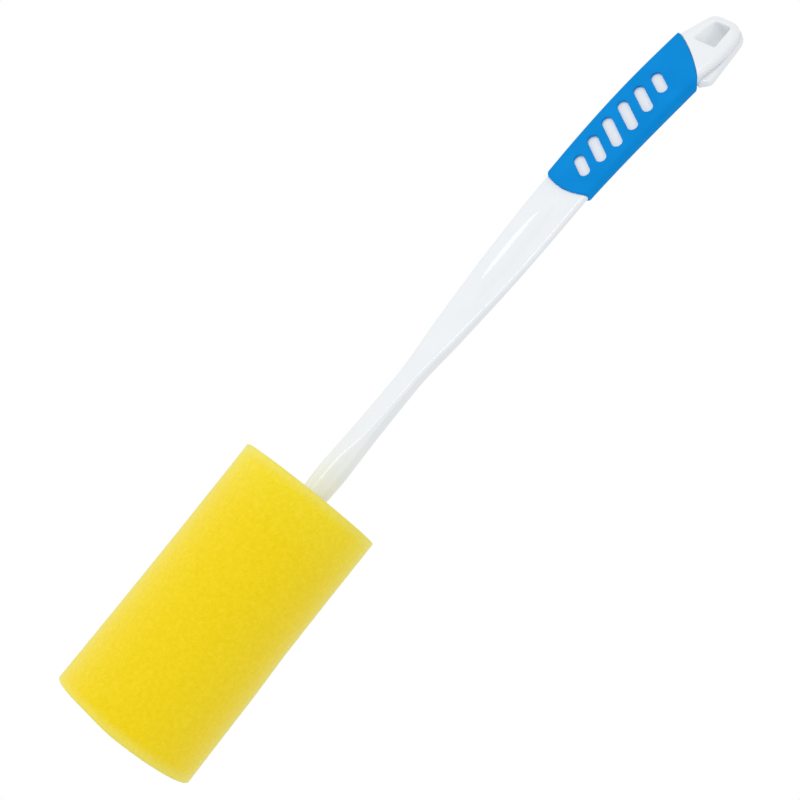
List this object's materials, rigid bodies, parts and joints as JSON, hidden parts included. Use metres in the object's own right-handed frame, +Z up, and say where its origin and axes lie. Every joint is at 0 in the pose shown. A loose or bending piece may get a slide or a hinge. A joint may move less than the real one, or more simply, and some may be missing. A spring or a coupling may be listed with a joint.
{
  "type": "bottle sponge brush",
  "caption": "Foam cylinder on a long white handle with a bent, soft blue grip and a slotted hang end, for cleaning inside bottles, jars and glasses.",
  "frame": {"origin": "centre of the foam's lower end face, on which the brush can stand", "axes": "+Z up the foam towards the handle, -Y the way the grip's windows face, +X the way the grip's upper end bends"},
  "size_m": [0.066, 0.066, 0.3844],
  "materials": {
    "handle": "gloss",
    "grip_sleeve": "satin",
    "foam_stem": "satin",
    "sponge": "matte"
  },
  "bodies": {
    "grip": {"handle": "handle", "grip_sleeve": "grip_sleeve", "foam_stem": "foam_stem"},
    "head": {"sponge": "sponge"}
  },
  "joints": [
    {"name": "sponge_pull_off", "type": "slide", "parent": "grip", "child": "head", "axis": [-0.0209, 0, -0.9998], "range_m": [0, 0.105]}
  ]
}
